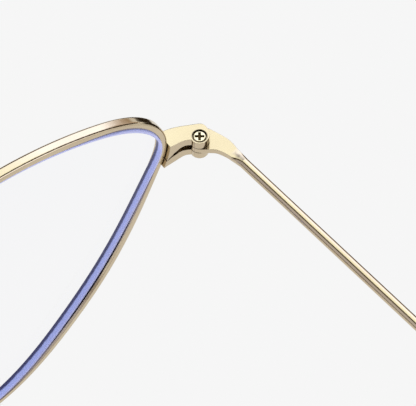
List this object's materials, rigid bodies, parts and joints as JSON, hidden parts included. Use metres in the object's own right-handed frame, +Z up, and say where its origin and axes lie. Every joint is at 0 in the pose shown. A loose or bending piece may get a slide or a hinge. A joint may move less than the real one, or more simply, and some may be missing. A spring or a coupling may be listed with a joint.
{
  "type": "eyeglasses",
  "caption": "Thin gold metal eyeglasses with clear blue-light lenses, folding round-wire temples, plastic tips and rocking nose pads.",
  "frame": {"origin": "middle of the footprint, on the surface that the rims and temple tips stand on", "axes": "+Z up; -Y towards what the wearer looks at, so the open temples run back along +Y; +X towards the wearer's left"},
  "size_m": [0.137, 0.1394, 0.0505],
  "materials": {
    "gold_metal": "polished pale gold plating",
    "screw_metal": "polished pale gold plating",
    "lens": "clear, with a blue-violet anti-reflection coating",
    "temple_tip": "polished translucent plastic",
    "pad_core": "plain",
    "nose_pad": "soft translucent silicone"
  },
  "bodies": {
    "front": {"bridge": "gold_metal", "rim_right": "gold_metal", "rim_left": "gold_metal", "lens_right": "lens", "lens_left": "lens", "lug_upper_right": "gold_metal", "lug_upper_left": "gold_metal", "lug_lower_right": "gold_metal", "lug_lower_left": "gold_metal", "hinge_screw_right": "screw_metal", "hinge_screw_left": "screw_metal", "pad_arm_right": "gold_metal", "pad_arm_left": "gold_metal", "pad_box_right": "gold_metal", "pad_box_left": "gold_metal", "pad_screw_right": "screw_metal", "pad_screw_left": "screw_metal"},
    "temple_arm_right": {"temple_right": "gold_metal", "temple_tip_right": "temple_tip"},
    "pad_right": {"nose_pad_right": "nose_pad", "pad_core_right": "pad_core"},
    "temple_arm_left": {"temple_left": "gold_metal", "temple_tip_left": "temple_tip"},
    "pad_left": {"nose_pad_left": "nose_pad", "pad_core_left": "pad_core"}
  },
  "joints": [
    {"name": "temple_right_fold", "type": "hinge", "parent": "front", "child": "temple_arm_right", "pos_m": [-0.06371, -0.06172, 0.03472], "axis": [0, 0, -1], "range_deg": [0, 87]},
    {"name": "temple_left_fold", "type": "hinge", "parent": "front", "child": "temple_arm_left", "pos_m": [0.06371, -0.06172, 0.03472], "axis": [0, 0, 1], "range_deg": [0, 91]},
    {"name": "nose_pad_right_rock", "type": "hinge", "parent": "front", "child": "pad_right", "pos_m": [-0.00958, -0.05913, 0.02419], "axis": [0.4803, -0.8771, 0], "range_deg": [-8, 8]},
    {"name": "nose_pad_left_rock", "type": "hinge", "parent": "front", "child": "pad_left", "pos_m": [0.00958, -0.05913, 0.02419], "axis": [-0.4803, -0.8771, 0], "range_deg": [-8, 8]}
  ]
}
